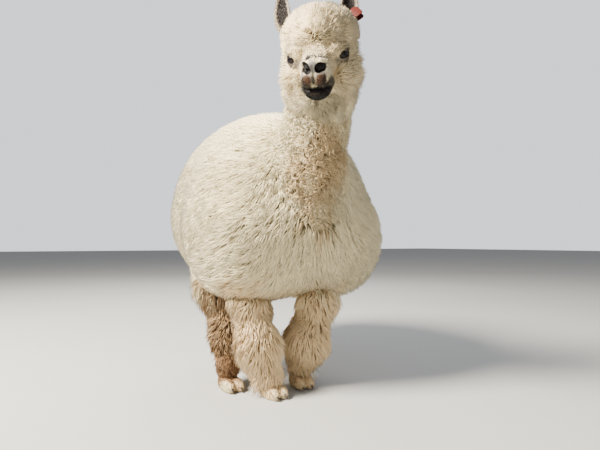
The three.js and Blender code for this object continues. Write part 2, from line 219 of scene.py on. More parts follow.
def chain(softness, *joints, thinner=1.0):
    """Bars from joint to joint. Each joint is a place and a radius."""
    pairs = zip(joints, joints[1:])
    return blend(softness, *(bar(a, b, ra * thinner, rb * thinner) for (a, ra), (b, rb) in pairs))


def grown(shape, by):
    """A shape swollen by a depth, or shrunk by a negative one."""
    return lambda p: shape(p) - by


HEAD_TURN, HEAD_PITCH, HEAD_ROLL = 36.5, 29, -3  # degrees: to the right, nose down, left eye up
head_turned = (
    Matrix.Rotation(math.radians(-HEAD_TURN), 3, "Z")
    @ Matrix.Rotation(math.radians(HEAD_PITCH), 3, "X")
    @ Matrix.Rotation(math.radians(HEAD_ROLL), 3, "Y")
)
head_axes = np.array(head_turned)
head_origin = np.array(EYES_IN_ANIMAL) * 1000


def to_head(p):
    return (p - head_origin) @ head_axes


def from_head(p):
    return np.array(p, float) @ head_axes.T + head_origin


def both(make):
    """The same shape on the animal's left and right."""
    return make(1), make(-1)


# The fleece, out to its tips.
BACK_HEIGHT, CHEST_HEIGHT, TRUNK_WIDTH, CHEST_FRONT_Y, RUMP_Y = 1008, 318, 680, -490, 495
WIDEST_Z, TOP_DEPTH = 580, 290
low_depth, half_width = WIDEST_Z - CHEST_HEIGHT, TRUNK_WIDTH / 2
trunk_fleece = blend(
    120,
    lump((0, 6, WIDEST_Z), (half_width - 4, 390, low_depth + 10)),
    lump((10, CHEST_FRONT_Y + 270, WIDEST_Z - 36), (half_width - 12, 270, low_depth - 36)),
    lump((0, RUMP_Y - 260, WIDEST_Z + 10), (half_width - 74, 260, low_depth + 24)),
    lump((0, 34, BACK_HEIGHT - TOP_DEPTH), (290, 428, TOP_DEPTH)),
    lump((16, -172, BACK_HEIGHT - TOP_DEPTH - 44), (302, 228, TOP_DEPTH - 24)),
    *both(lambda side: lump((side * 178 + 8, -226, 486), (160, 176, 178))),
)
neck_fleece = chain(
    60,
    ((-8, -346, 600), 150),
    ((0, -392, 752), 116),
    ((8, -424, 890), 102),
    (from_head((0, 84, -64)), 94),
)
body_fleece = blend(64, trunk_fleece, neck_fleece)
skull = blend(
    26,
    lump((0, 50, 6), (70, 84, 66)),
    bar((0, 0, -14), (0, -106, -20), 50, 33),
    bar((0, -90, -36), (0, -108, -40), 36, 35),
    bar((0, 24, -64), (0, -96, -72), 46, 28),
    lump((0, -97, -73), (38, 28, 27)),
    *both(lambda side: lump((side * 50, 10, 2), (34, 37, 33))),
)
eye_hollows = blend(8, *both(lambda side: bar((side * 62, -10, 0), (side * 150, -70, 6), 14, 56)))
head_wool = carve(
    22,
    blend(
        44,
        blend(50, lump((6, 74, 46), (117, 96, 88)), lump((9, 44, 66), (92, 66, 66))),
        blend(
            44,
            lump((64, 46, -50), (62, 86, 84)),
            lump((-60, 46, -50), (62, 86, 84)),
            lump((-4, 32, -126), (106, 84, 96)),
        ),
    ),
    eye_hollows,
)
head_fleece = blend(14, skull, head_wool)  # in the head's frame
LEGS = {  # joints from the top down
    "foreleg_right": (
        ((-176, -238, 500), 92),
        ((-174, -262, 330), 61),
        ((-146, -298, 170), 65),
        ((-118, -310, 66), 61),
    ),
    "foreleg_left": (
        ((150, -270, 500), 92),
        ((96, -286, 310), 68),
        ((56, -278, 160), 70),
        ((36, -270, 66), 53),
    ),
    "hindleg_right": (
        ((-170, 170, 520), 110),
        ((-204, -70, 330), 72),
        ((-202, -146, 170), 44),
        ((-201, -173, 66), 45),
    ),
    "hindleg_left": (
        ((136, 226, 500), 112),
        ((146, 320, 310), 66),
        ((140, 312, 170), 46),
        ((136, 286, 66), 45),
    ),
}
TAIL = (
    ((0, RUMP_Y - 128, 884), 34),
    ((0, RUMP_Y - 40, 812), 50),
    ((0, RUMP_Y - 2, 720), 54),
    ((0, RUMP_Y - 8, 630), 40),
)
legs_fleece = {name: chain(60, *joints) for name, joints in LEGS.items()}
tail_fleece = chain(40, *TAIL)

# The coat's depth, from skin to tips.
BODY_COAT = 36  # on the trunk and neck
WOOL_COAT = 34  # on crown, cheeks and beard
LEG_THINNER, TAIL_THINNER = 0.62, 0.5  # the flesh's radius, as a share of that with the wool
FACE_HAIR = 2.0
EYE_RADIUS, EYE_SPACING = 19.5, 140


def slopes(field, points, step):
    """The direction in which a shape's distance grows, which points out of it."""
    pairs = [(points + step * axis, points - step * axis) for axis in np.eye(3)]
    return np.stack([(field(ahead) - field(behind)) / (2 * step) for ahead, behind in pairs], -1)


def unit(vectors):
    return vectors / np.maximum(np.linalg.norm(vectors, axis=-1, keepdims=True), 1e-9)


def flatten(directions, out):
    """Directions turned to lie along a surface whose outward directions are given."""
    return unit(directions - out * (directions * out).sum(-1, keepdims=True))


def skin_mesh(field, low, high, cell, polish=3):
    """Points and four-cornered faces of a shape's surface in a box, all in millimetres."""
    counts = [int((b - a) / cell) + 1 for a, b in zip(low, high)]
    sides = [low[i] + cell * np.arange(counts[i]) for i in range(3)]
    values = np.empty(counts, np.float32)
    for i, x in enumerate(sides[0]):
        y, z = np.meshgrid(sides[1], sides[2], indexing="ij")
        values[i] = field(np.stack([np.full_like(y, x), y, z], -1))
    grid = openvdb.FloatGrid(3 * cell)
    grid.copyFromArray(np.clip(values, -3 * cell, 3 * cell))
    points, faces = grid.convertToQuads(0.0)
    points = points * cell + low
    for _ in range(polish):
        slope = slopes(field, points, cell * 0.3)
        step = np.clip(field(points) / np.maximum((slope**2).sum(-1), 0.05), -cell, cell)
        points = points - slope * step[:, None]
    return points, faces


# The face, in the head's frame: nose pad, comma-shaped nostrils, cleft upper lip, mouth, chin, lids.
def eye_middle(side):
    return np.array((side * EYE_SPACING / 2, 0.0, 0.0))


def eye_axes(side):
    """Out of the head, from the inner corner to the outer one, and up."""
    out = unit(np.array((side * 0.64, -0.765, 0.06)))
    corner = flatten(np.array((side * 0.72, 0.60, 0.30)), out)
    return np.stack([out, corner, np.cross(out, corner) * side], -1)


def eye_opening(side):
    """The gap between the lids, wider than it is high."""
    axes = eye_axes(side)
    return lump(eye_middle(side) + axes @ (19, 0, 1.5), (12, 22, 10.5), axes)


MIDDLE = -4  # the lips are drawn a little to the animal's right
muzzle = blend(
    12,
    skull,
    lump((MIDDLE, -132, -6), (26, 16, 16)),  # nose pad
    *both(lambda side: lump((MIDDLE + side * 18, -132, -41), (18, 18, 18))),  # the upper lip's lobes
    lump((MIDDLE, -117, -80), (27, 20, 13)),  # lower lip
    *both(lambda side: bar((side * 31, -60, -62), (side * 29, -104, -58), 20, 16)),  # the lips' sides
    *both(lambda side: bar((side * 40, -14, -24), (side * 30, -70, -38), 22, 14)),  # cheekbones
    *both(lambda side: bar((MIDDLE + side * 24, -131, 4), (side * 31, -108, -2), 6, 5)),  # nostrils' wings
)


def muzzle_hit(start, end):
    """Where a line from outside first meets the muzzle, to a quarter of a millimetre."""
    steps = round(4 * math.dist(start, end)) + 1
    places = np.linspace(start, end, steps)
    return places[np.argmax(muzzle(places) < 0)]


def front(x, z, into=0.0):
    """The point of the muzzle's front this far from its middle and at this height, or inside it."""
    return muzzle_hit((x + MIDDLE, -175, z), (x + MIDDLE, -40, z)) + (0, into, 0)


def beside(side, y, z, into=0.0):
    """The point of the muzzle's side at this depth and height, or this far inside it."""
    return muzzle_hit((side * 90, y, z), (0, y, z)) - (side * into, 0, 0)


def nostril(side):
    """Shaped like a comma, and wider on the animal's right."""
    wing, narrower = front(side * 22.5, -8 - 2 * side), 0.8 * side
    return blend(
        8,
        bar(front(side * 14, -18), wing, 5.2 - narrower, 6.4 - narrower),
        bar(wing, beside(side, -123, -3 - 7 * side), 6.4 - narrower, 3.2),
        bar(front(side * 20, -14), front(side * 32, -17, 1), 4.6, 2.4),
        bar(front(side * 18, -12), (side * 15, -110, -8), 6.5, 6.0),
    )


nostrils = both(nostril)
MOUTH = ((0, -62), (9, -65), (20, -67), (31, -67))  # the parted lips, from the middle out
mouth_line = both(
    lambda side: blend(
        3,
        *(
            bar(front(side * x0, z0, 1), front(side * x1, z1, 1), 4.2 - 0.04 * x0, 4.2 - 0.04 * x1)
            for (x0, z0), (x1, z1) in zip(MOUTH, MOUTH[1:])
        ),
        bar(front(side * 31, -67, 1), beside(side, -98, -66, 1), 3.0, 2.4),
        bar(beside(side, -98, -66, 1), beside(side, -66, -56, 0), 2.4, 1.0),
    )
)
cleft = bar(front(0, -26), front(0, -60, -1), 1.4, 3.2)
pad_groove = bar(front(0, -6, -0.5), front(0, -27), 0.8, 1.6)
face_skin = muzzle
for softness, hollows in ((2.5, nostrils), (3, mouth_line), (5, (cleft,)), (4, (pad_groove,))):
    for hollow in hollows:
        face_skin = carve(softness, face_skin, hollow)
lids = both(lambda side: lump(eye_middle(side), (EYE_RADIUS + 3.0,) * 3))
brow = both(lambda side: bar((side * 52, -30, 14), (side * 78, 14, 22), 5, 5))
face_skin = blend(16, grown(face_skin, -FACE_HAIR), *lids, *brow)
for side in (1, -1):
    face_skin = carve(2.5, face_skin, eye_opening(side))

head_flesh = grown(head_wool, -WOOL_COAT)
flesh = blend(
    50,
    grown(body_fleece, -BODY_COAT),
    lambda p: head_flesh(to_head(p)),
    chain(30, *TAIL, thinner=TAIL_THINNER),
    *(chain(40, *joints, thinner=LEG_THINNER) for joints in LEGS.values()),
)
FACE_BACK = 44  # where the fine face ends, under the wool
face_shell = blend(24, face_skin, head_flesh)


def face_closed(p):
    return np.maximum(face_shell(p), p[..., 1] - FACE_BACK)


# A foot: two padded toes with a cleft between, joined by a web, under a short pastern.
FEET = {
    "forefoot_right": ((-108, -322), 8),
    "forefoot_left": ((26, -276), -4),
    "hindfoot_right": ((-203, -188), 4),
    "hindfoot_left": ((136, 262), -6),
}
TOE_SPREAD = 17
toes = both(
    lambda side: blend(
        12,
        lump((side * TOE_SPREAD, -18, 17), (17, 46, 22)),
        bar((side * TOE_SPREAD, -36, 14), (side * (TOE_SPREAD - 2), -50, 10), 13, 9),
    )
)
foot_shape = blend(14, *toes, lump((0, -6, 12), (18, 32, 24)), bar((0, 14, 30), (0, 16, 110), 28, 26))
foot_skin = carve(5, grown(foot_shape, -0.6), bar((0, -70, 30), (0, -10, 34), 2.5, 1.0))


def foot_closed(p):
    return np.maximum(foot_skin(p), -p[..., 2])


# An ear: a spear-shaped scoop, open to the front, that leaves the crown sideways and bends upright.
EAR_WIDTH, EAR_THICK, EAR_SHIFT = 62, 5, -9
EAR_LINE = ((52, 100, 50), (98, 136, 96), (109, 196, 146), (101, 240, 190))


def ear_place(side, s):
    """A point of the ear's midline, its three directions, half its arc and its radius there."""
    ends = np.array([from_head((side * x + EAR_SHIFT, y, z)) for x, y, z in EAR_LINE])
    ends = np.concatenate([[2 * ends[0] - ends[1]], ends, [2 * ends[-1] - ends[-2]]])

    def at(t):
        k = min(int(t * 3), 2)
        f = t * 3 - k
        a, b, c, d = ends[k : k + 4]
        bend = 2 * b + (c - a) * f + (2 * a - 5 * b + 4 * c - d) * f**2
        return 0.5 * (bend + (3 * b - a - 3 * c + d) * f**3)

    along = unit(at(min(s + 0.01, 1)) - at(max(s - 0.01, 0)))
    open_way = flatten(head_axes @ (side * 0.2, -1, 0.1), along)
    across = unit(np.cross(along, open_way)) * side
    width = max(EAR_WIDTH * math.sin(math.pi * (0.2 + 0.8 * s)) ** 0.8, 5)
    spread = math.radians(78 + (40 - 78) * s)
    return at(s), open_way, across, spread, width / 2 / math.sin(spread)


def ear_mesh(side, rows=34, columns=15):
    """Rings from base to tip, each out along the back of the ear and home along its hollow."""
    rings = []
    for s in 0.08 + 0.92 * np.linspace(0, 1, rows) ** 0.9:
        at, open_way, across, spread, radius = ear_place(side, s)
        thick = min(EAR_THICK - 1, radius * 0.5)
        ring = []
        for inner in (False, True):
            turns = np.linspace(1, -1, columns) * (-1 if inner else 1)
            for turn in turns:
                rim = math.sqrt(max(1 - abs(turn) ** 6, 0))
                r = radius - 0.5 - thick * (0.5 + (0.5 if inner else -0.5) * rim)
                angle = spread * turn
                ring.append(at + across * r * math.sin(angle)
                            + open_way * (radius * math.cos(spread) - r * math.cos(angle)))
        rings.append(ring)
    ring_size = 2 * columns
    points = [*np.concatenate(rings), np.mean(rings[0], 0), np.mean(rings[-1], 0)]
    faces = []
    for row in range(rows - 1):
        for j in range(ring_size):
            a, b = row * ring_size + j, row * ring_size + (j + 1) % ring_size
            faces.append([a, b, b + ring_size, a + ring_size])
    base, tip = rows * ring_size, rows * ring_size + 1
    last = (rows - 1) * ring_size
    for j in range(0, ring_size, 2):
        k, m = (j + 1) % ring_size, (j + 2) % ring_size
        faces.append([base, m, k, j])
        faces.append([tip, last + j, last + k, last + m])
    faces = np.array(faces)
    if side < 0:
        faces = faces[:, ::-1]
    return np.array(points), faces


BODY_CELL, FACE_CELL, FOOT_CELL = 10, 1.8, 3  # how coarse each shell's mesh is
body_shell = skin_mesh(flesh, (-360, -640, 30), (360, 620, 1220), BODY_CELL)
face_points, face_faces = skin_mesh(face_closed, (-100, -166, -120), (100, FACE_BACK + 6, 100), FACE_CELL)
foot_points, foot_faces = skin_mesh(foot_closed, (-48, -76, -6), (48, 56, 150), FOOT_CELL, polish=2)
foot_points[:, 2] = np.maximum(foot_points[:, 2], 0)
shells = [body_shell, (from_head(face_points), face_faces), ear_mesh(1), ear_mesh(-1)]
for (x, y), turn in FEET.values():
    turned = np.array(Matrix.Rotation(math.radians(turn), 3, "Z"))
    shells.append((foot_points @ turned.T + (x, y, 0), foot_faces))
BODY_SHELL, FACE_SHELL, LEFT_EAR_SHELL, RIGHT_EAR_SHELL, FIRST_FOOT_SHELL = range(5)


def to_frame(points):
    """From millimetres in the animal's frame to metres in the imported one."""
    return np.asarray(points) / 1000 + np.array(shift)


def mesh_object(name, points, faces, material):
    mesh = bpy.data.meshes.new(name)
    mesh.from_pydata(np.asarray(points).tolist(), [], np.asarray(faces).tolist())
    mesh.materials.append(material)
    mesh.polygons.foreach_set("use_smooth", [True] * len(mesh.polygons))
    return placed(name, mesh)


starts = np.cumsum([0] + [len(points) for points, _ in shells])
skin_points = np.concatenate([points for points, _ in shells])
skin_faces = np.concatenate([np.asarray(faces) + start for (_, faces), start in zip(shells, starts)])
skin_shell = np.repeat(np.arange(len(shells)), [len(faces) for _, faces in shells])  # by face


# Markings: cream-white fleece, stained tan on throat and legs and brown on the right hind leg, a grey nose,
# black mouth and brown upper lip, dark skin round the eyes, and freckles on the bridge. Painted into them
# too: shade under the chin and highlights on the lips.
CREAM, TAN, BROWN = (0.93, 0.82, 0.54), (0.62, 0.42, 0.20), (0.26, 0.13, 0.055)
# LIP_HIGHLIGHT is a painted highlight on the lobes of the upper lip.
BLACK, GREY, LIP_HIGHLIGHT, RUST = (0.005, 0.004, 0.004), (0.19, 0.18, 0.165), (0.46, 0.41, 0.34), (0.42, 0.17, 0.08)
BACK_STAINS = (((-110, 60, 985), 34), ((-200, -60, 900), 22), ((-258, 0, 780), 20), ((-226, -180, 770), 18))


def smooth_noise(points, scale, seed):
    """A gentle random value, about -1 to 1, that changes over the given distance."""
    random = np.random.default_rng(seed)
    waves = random.normal(0, 1.6, (8, 3)) / scale
    phases = random.uniform(0, 2 * math.pi, 8)
    return sum(np.sin(points @ wave + phase) for wave, phase in zip(waves, phases)) / 4


def near(points, centre, radii, ragged=0.0, fade=0.7):
    """1 in the middle of an ellipsoid and 0 beyond it, falling smoothly over the fade."""
    far = np.sqrt((((points - centre) / radii) ** 2).sum(-1))
    if ragged:
        far = far + ragged * smooth_noise(points, 22, 3)
    share = np.clip(0.5 + (1 - far) / fade, 0, 1)
    return share * share * (3 - 2 * share)


def marks_and_painted_light(points):
    """The colour of skin and hair at places on the animal, with painted shade and highlights."""
    colour = np.tile(CREAM, (len(points), 1))

    def paint(mask, tint):
        colour[:] = colour + mask[:, None] * (tint - colour)

    paint(0.75 * near(points, (-14, -505, 750), (72, 110, 165), 0.5, 0.9), (0.60, 0.40, 0.20))  # throat
    for name in ("foreleg_right", "foreleg_left", "hindleg_left"):
        (x, y, _), _ = LEGS[name][2]
        paint(0.85 * near(points, (x, y, 130), (130, 130, 290), 0.3), (0.92, 0.67, 0.38))
    (x, y, _), _ = LEGS["hindleg_right"][2]
    paint(0.9 * near(points, (x - 6, y, 180), (120, 140, 240), 0.3), (0.30, 0.17, 0.075))
    paint(0.7 * near(points, (x - 6, y, 90), (90, 100, 70), 0.3), BROWN)
    for place, size in BACK_STAINS:
        paint(0.5 * near(points, place, (size,) * 3, 0.6), TAN)

    # From here on, places are in the head's frame. First the wool of crown, cheeks and beard, and painted
    # shade under the chin.
    q = to_head(points)
    paint(0.5 * near(q, (0, 60, 20), (160, 140, 150)), (0.80, 0.60, 0.34))
    paint(0.55 * near(q, (-34, 14, 118), (26, 20, 18), 0.5), RUST)
    paint(0.6 * near(q, (60, -40, -50), (30, 26, 20), 0.6), TAN)
    paint(0.5 * near(q, (66, -20, -12), (20, 26, 12), 0.6), TAN)
    paint(0.55 * near(q, (-56, -40, -40), (22, 24, 18), 0.6), TAN)
    # Painted shade under the chin, where the muzzle's shadow falls on the throat.
    paint(0.6 * near(q, (MIDDLE, -55, -128), (50, 56, 34), 0.3, 0.9), (0.22, 0.20, 0.13))

    # Freckles on the bridge, and a dark streak down its right side.
    small = np.clip(smooth_noise(q, 3.0, 8) * 3 - 1.1, 0, 1)
    large = np.clip(smooth_noise(q, 4.5, 9) * 3 - 1.7, 0, 1)
    paint(0.7 * np.clip(small + large, 0, 1) * near(q, (4, -66, 12), (54, 66, 34)), (0.26, 0.18, 0.12))
    paint(0.7 * near(q, (-25, -112, 10), (7, 20, 10), 0.3), (0.16, 0.09, 0.06))
    paint(0.85 * near(q, (-39, -122, -24), (13, 30, 30), 0.15, 0.6), (0.05, 0.03, 0.022))

    # Grey hair before and above each eye, and dark lids.
    for side in (1, -1):
        eye = eye_middle(side)
        paint(0.75 * near(q, eye + (side * -6, -24, -12), (15, 20, 14), 0.3), (0.20, 0.18, 0.17))
        paint(0.6 * near(q, eye + (side * 12, 6, 18), (16, 22, 11), 0.3), (0.16, 0.14, 0.13))
        lid = np.linalg.norm(q - eye, axis=-1) - EYE_RADIUS
        paint(np.clip((8 - lid) / 5, 0, 1), (0.045, 0.036, 0.033))

    # Black chin and grey nose pad.
    chin = near(q, (MIDDLE, -100, -90), (60, 64, 35), 0.06, 0.25)
    paint(chin * np.clip((-44 - q[:, 1]) / 12, 0, 1), BLACK)
    paint(near(q, (MIDDLE, -148, -9), (16, 20, 18), 0, 0.5), GREY)

    # On each side: dark corner of the mouth, a painted highlight along the top of the lip's lobe, brown
    # lobe of the lip with its dark outer and lower edges, and black nostril.
    for side in (1, -1):
        x = MIDDLE + side * 19.5
        paint(0.9 * near(q, (side * 38, -102, -62), (16, 40, 24), 0.15, 0.6), (0.012, 0.008, 0.006))
        # Painted highlight: a pale band along the top of the lip's lobe, where light catches the skin.
        paint(near(q, (x, -150, -33), (16, 28, 17), 0.1, 0.4), LIP_HIGHLIGHT)
        paint(0.95 * near(q, (x, -150, -45), (14, 28, 18), 0.25, 0.6), (0.095, 0.042, 0.02))
        paint(0.8 * near(q, (x + side * 9, -148, -50), (6, 28, 16), 0.2, 0.8), (0.02, 0.012, 0.008))
        paint(0.85 * near(q, (x + side * 5, -142, -59), (17, 30, 8), 0.2, 0.6), (0.02, 0.014, 0.01))
        paint(np.clip((3.9 - nostrils[side < 0](q)) / 1.2, 0, 1), BLACK)

    # Dark cleft and groove, black mouth, and a painted highlight along the lower lip's rim.
    clefts = np.minimum(cleft(q), pad_groove(q) + 1)
    paint(np.clip((4.6 - clefts) / 2.5, 0, 1) * 0.9, (0.02, 0.015, 0.014))
    paint(near(q, (MIDDLE, -150, -72), (34, 34, 13), 0.15, 0.4), BLACK)
    # Painted highlight: a paler line where light catches the rim of the lower lip.
    paint(0.6 * near(q, front(0, -81), (15, 8, 3.4)), (0.06, 0.045, 0.035))
    return colour


EAR_HOLLOW, EAR_RIM, EAR_BACK = (0.018, 0.012, 0.010), (0.55, 0.46, 0.35), (0.25, 0.19, 0.135)


def ear_tint(points, colour):
    """Grey-brown ears with a dark hollow and pale rims, that turn to wool at the base."""
    steps = np.linspace(0.04, 1, 40)
    for side in (1, -1):
        mine = (to_head(points)[:, 0] > EAR_SHIFT) == (side > 0)
        places = [ear_place(side, s) for s in steps]
        at, open_way, across, spread, radius = (np.array(values) for values in zip(*places))
        nearest = np.linalg.norm(points[mine, None] - at, axis=-1).argmin(1)
        off = points[mine] - at[nearest]
        sideways = (off * across[nearest]).sum(-1)
        deep = radius[nearest] * np.cos(spread[nearest]) - (off * open_way[nearest]).sum(-1)
        rim = np.abs(np.arctan2(sideways, deep)) / spread[nearest]
        hollow = np.hypot(sideways, deep) < radius[nearest] - 0.55 * EAR_THICK
        rim_share = np.clip((rim - 0.62) / 0.25, 0, 1)[:, None]
        inner = (1 - rim_share) * EAR_HOLLOW + rim_share * EAR_RIM
        hair = np.where(hollow[:, None], inner, EAR_BACK)
        furry = np.clip((0.36 - steps[nearest]) / 0.2, 0, 1)[:, None]
        colour[mine] = hair + furry * (colour[mine] - hair)
    return colour


def add_point_colours(mesh, colours):
    """Stores a colour for each point of a mesh."""
    layer = mesh.attributes.new("marks_and_painted_light_rgb", "FLOAT_COLOR", "POINT")
    rgba = np.concatenate([colours, np.ones((len(colours), 1))], 1)
    layer.data.foreach_set("color", rgba.astype(np.float32).ravel())


def shade_group(name, inputs, outputs):
    """An empty group of shader nodes: the tree, what it is given and what it gives."""
    group = bpy.data.node_groups.new(name, "ShaderNodeTree")
    for way, sockets in (("INPUT", inputs), ("OUTPUT", outputs)):
        for label, kind in sockets.items():
            group.interface.new_socket(label, in_out=way, socket_type=f"NodeSocket{kind}")
    return group, node(group, "NodeGroupInput").outputs, node(group, "NodeGroupOutput").inputs


def shaded(tree, colour, by):
    """A colour made lighter or darker by a factor."""
    return node(tree, "ShaderNodeVectorMath", {0: colour, "Scale": by}, operation="SCALE").outputs[0]


def stored(tree, name, kind="Fac"):
    """What the mesh stores under this name at each point."""
    return node(tree, "ShaderNodeAttribute", attribute_name=name).outputs[kind]


def hide_group():
    """Living skin: fine pores and folds as height, and a little unevenness of colour."""
    group, given, gives = shade_group("skin grain", {"Place": "Vector", "Colour": "Color"},
                                      {"Colour": "Color", "Height": "Float", "Roughness": "Float"})
    pores = node(group, "ShaderNodeTexVoronoi", {"Vector": given["Place"], "Scale": 620})
    folds = noise(group, given["Place"], 130, 4)
    mottle = noise(group, given["Place"], 45, 3)
    tone = node(group, "ShaderNodeMapRange", {"Value": mottle, "To Min": 0.75, "To Max": 1.2})
    rough = node(group, "ShaderNodeMapRange", {"Value": folds, "To Min": 0.45, "To Max": 0.8})
    group.links.new(shaded(group, given["Colour"], tone.outputs[0]), gives["Colour"])
    group.links.new(multiply_add(group, pores.outputs["Distance"], 0.5, folds), gives["Height"])
    group.links.new(rough.outputs[0], gives["Roughness"])
    return group


def add_relief(tree, shader, height, strength, distance):
    """Raises a material's surface by a height, with the distance in metres."""
    bump = node(tree, "ShaderNodeBump", {"Height": height, "Strength": strength, "Distance": distance})
    tree.links.new(bump.outputs[0], shader.inputs["Normal"])


skin_material, tree, shader = surface("alpaca_skin", Specular_IOR_Level=0.1)
skin_values = {"Place": own_place(tree), "Colour": stored(tree, "marks_and_painted_light_rgb", "Color")}
grain = node(tree, "ShaderNodeGroup", skin_values, node_tree=hide_group())
tree.links.new(grain.outputs["Colour"], shader.inputs["Base Color"])
tree.links.new(grain.outputs["Roughness"], shader.inputs["Roughness"])
add_relief(tree, shader, grain.outputs["Height"], 0.35, 0.0012)
skin = mesh_object("alpaca_skin", to_frame(skin_points), skin_faces, skin_material)
skin_colours = marks_and_painted_light(skin_points)
on_ears = slice(starts[LEFT_EAR_SHELL], starts[FIRST_FOOT_SHELL])
skin_colours[on_ears] = ear_tint(skin_points[on_ears], skin_colours[on_ears])
add_point_colours(skin.data, skin_colours)
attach(skin, "root")
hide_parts("trunk", "neck", "head", "tail", "ear_left", "ear_right", *LEGS, *FEET)


# ---- Eyes ----
# Large dark eyes under the lids: a clear cornea over a dark brown iris with a long level pupil. Each
# is a whole ball that the skin's lids close over.
PUPIL_LENGTH = 1.9  # how many times longer than high
CORNEA_RISE, CORNEA_ANGLE = 0.05, 0.55  # its rise as a share of the radius, and its half angle
EYE_TINTS = (  # from the pupil's middle outwards: black pupil, brown iris, dark edge
    (0.0, (0.003, 0.003, 0.004)),
    (0.42, (0.004, 0.004, 0.005)),
    (0.5, (0.014, 0.008, 0.005)),
    (0.85, (0.012, 0.006, 0.004)),
    (1.0, (0.006, 0.004, 0.004)),
)


def add_values(mesh, name, values):
    """Stores a number for each point of a mesh."""
    mesh.attributes.new(name, "FLOAT", "POINT").data.foreach_set("value", values.astype(np.float32))


eye_material, tree, shader = surface("eye", Roughness=0.06, Specular_IOR_Level=0.22)
iris = node(tree, "ShaderNodeValToRGB", {"Fac": stored(tree, "from_pupil")})
while len(iris.color_ramp.elements) < len(EYE_TINTS):
    iris.color_ramp.elements.new(0.5)
for element, (place, tint) in zip(iris.color_ramp.elements, EYE_TINTS):
    element.position = place
    element.color = (*tint, 1)
tree.links.new(iris.outputs["Color"], shader.inputs["Base Color"])

for side, word in ((1, "left"), (-1, "right")):
    rings, sides = 32, 48
    points, spread = [], []
    for ring in range(rings + 1):
        tilt = math.pi * ring / rings
        bulge = 1 + CORNEA_RISE * math.exp(-((tilt / CORNEA_ANGLE) ** 2))
        for j in range(sides):
            turn = 2 * math.pi * j / sides
            local = (math.cos(tilt), math.sin(tilt) * math.cos(turn), math.sin(tilt) * math.sin(turn))
            points.append(eye_middle(side) + eye_axes(side) @ local * EYE_RADIUS * bulge)
            spread.append(math.hypot(local[1], local[2] * PUPIL_LENGTH) if tilt < math.pi / 2 else 1.0)
    faces = []
    for ring in range(rings):
        for j in range(sides):
            k = (j + 1) % sides
            a, b = ring * sides, ring * sides + sides
            faces.append([a + j, b + j, b + k, a + k])
    if side < 0:
        faces = [face[::-1] for face in faces]
    ball = mesh_object(f"eyeball_{word}", to_frame(from_head(np.array(points))), faces, eye_material)
    add_values(ball.data, "from_pupil", np.clip(spread, 0, 1))
    weld = ball.modifiers.new("closed poles", "WELD")
    weld.merge_threshold = 1e-5
    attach(ball, "root")
    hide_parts(f"eye_{word}")


# ---- Fleece ----
# Huacaya fleece: dense crimped locks that grow out of the skin and lie back along the body, each a
# closed three-sided tuft that narrows to a tip at the outline of the coat.
PATCH = 0.003  # a tuft's width on its bake map
ROOT_DEPTH = 2.0  # how far a tuft starts inside the skin
FLOOR_GAP = 1.0  # no hair comes nearer to the floor
LONG_LOCK = ((0.0, 0.62), (0.42, 1.0), (0.78, 0.66))  # sections of a tuft: how far along, how thick
SHORT_LOCK = ((0.0, 0.8), (0.5, 1.0))


def tuft_faces(rings):
    """The faces of one tuft, and for each face corner its place on the tuft's map patch."""
    faces, patch = [], []
    step = 1 / (rings + 1)
    for ring in range(rings):
        low, high = (ring + 1) * step, (ring + 2) * step
        for j in range(3):
            a, b = 3 * ring + j, 3 * ring + (j + 1) % 3
            if ring < rings - 1:
                faces.append([a, b, b + 3, a + 3])
                patch += [(j / 3, low), ((j + 1) / 3, low), ((j + 1) / 3, high), (j / 3, high)]
            else:
                faces.append([a, b, 3 * rings])
                patch += [(j / 3, low), ((j + 1) / 3, low), ((j + 0.5) / 3, high)]
    faces.append([2, 1, 0])
    patch += [(0, step), (1, step), (0.5, 0)]
    return faces, np.array(patch) - 0.5


def fleece_group():
    """Wool: painted shade towards the roots, uneven from lock to lock, with its fibres as height."""
    group, given, gives = shade_group(
        "wool",
        {"Place": "Vector", "Colour": "Color", "Along": "Float", "Tone": "Float"},
        {"Colour": "Color", "Height": "Float"},
    )

    dust = noise(group, given["Place"], 28, 4)
    fibres = noise(group, given["Place"], 420)
    # Painted shade: each tuft is darker towards its root, where the locks shade each other; Tone varies it
    # at random from lock to lock.
    lock = multiply_add(group, given["Tone"], 0.36, multiply_add(group, given["Along"], 0.28, 0.48))
    cloudy = multiply_add(group, dust, 0.22, multiply_add(group, lock, 1, -0.11))
    group.links.new(shaded(group, given["Colour"], cloudy), gives["Colour"])
    group.links.new(fibres, gives["Height"])
    return group


fleece_material, tree, shader = surface(
    "fleece", Roughness=0.85, Specular_IOR_Level=0.15, Sheen_Weight=0.12, Sheen_Roughness=0.5)
fleece_values = {
    "Place": own_place(tree),
    "Colour": stored(tree, "marks_and_painted_light_rgb", "Color"),
    "Along": stored(tree, "along"),
    "Tone": stored(tree, "tone"),
}
wool = node(tree, "ShaderNodeGroup", fleece_values, node_tree=fleece_group())
tree.links.new(wool.outputs["Colour"], shader.inputs["Base Color"])
add_relief(tree, shader, wool.outputs["Height"], 0.4, 0.002)

# Roots are spread over the skin by area, and each belongs to the part whose fleece it grows in.
corners = skin_points[skin_faces[:, [0, 1, 2, 0, 2, 3]]].reshape(-1, 3, 3)
areas = np.linalg.norm(np.cross(corners[:, 1] - corners[:, 0], corners[:, 2] - corners[:, 0]), axis=1) / 2
middles = corners.mean(1)
shell_of = np.repeat(skin_shell, 2)
TRUNK, NECK, HEAD, FACE, FORELEGS, HINDLEGS, TAIL_END, EARS, TOES = range(9)


